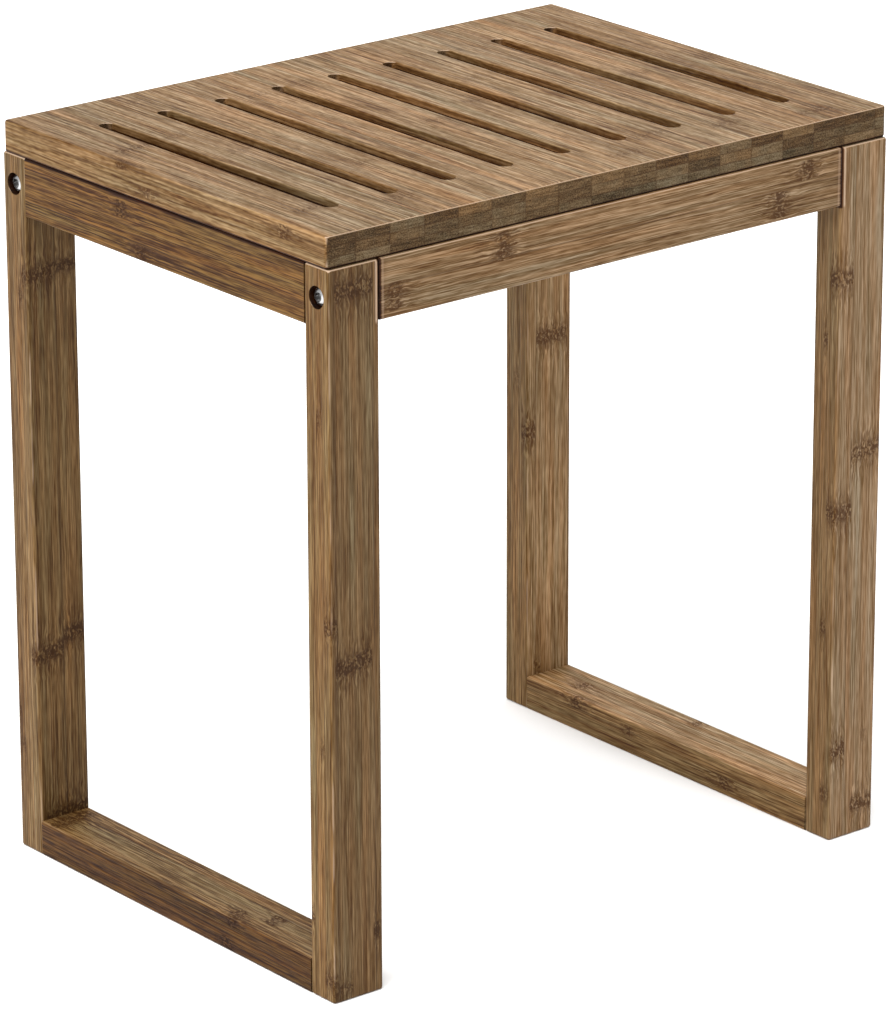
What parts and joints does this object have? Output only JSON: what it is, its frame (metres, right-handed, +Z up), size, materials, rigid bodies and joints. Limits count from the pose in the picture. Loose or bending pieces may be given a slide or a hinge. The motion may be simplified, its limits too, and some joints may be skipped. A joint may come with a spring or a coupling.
{
  "type": "bathroom stool",
  "caption": "Backless bamboo bathroom stool with a flat slotted seat on two closed rectangular side frames joined by long aprons.",
  "frame": {"origin": "floor level, under the middle of the stool", "axes": "+Z up, +X along the stool's long side, -Y towards the front long side"},
  "size_m": [0.42, 0.31, 0.46],
  "materials": {
    "bamboo_seat": "oiled matt strip-laminated bamboo, grain front to back",
    "bamboo_leg": "oiled matt laminated bamboo, grain upright",
    "bamboo_rail": "oiled matt laminated bamboo, grain front to back",
    "bamboo_side_apron": "oiled matt laminated bamboo, redder brown, grain front to back",
    "bamboo_long_apron": "oiled matt laminated bamboo, grain side to side",
    "bolt_steel": "bright zinc plated",
    "nut_steel": "zinc plated",
    "dowel_wood": "plain beech",
    "screw_steel": "zinc plated"
  },
  "bodies": {
    "root": {"seat_panel": "bamboo_seat", "leg_front_left": "bamboo_leg", "leg_back_left": "bamboo_leg", "leg_front_right": "bamboo_leg", "leg_back_right": "bamboo_leg", "rail_left": "bamboo_rail", "rail_right": "bamboo_rail", "side_apron_left": "bamboo_side_apron", "side_apron_right": "bamboo_side_apron", "long_apron_front": "bamboo_long_apron", "long_apron_back": "bamboo_long_apron", "frame_bolts": "bolt_steel", "barrel_nuts": "nut_steel", "apron_dowels": "dowel_wood", "side_apron_dowels": "dowel_wood", "rail_dowels": "dowel_wood", "seat_screws": "screw_steel"}
  },
  "joints": []
}
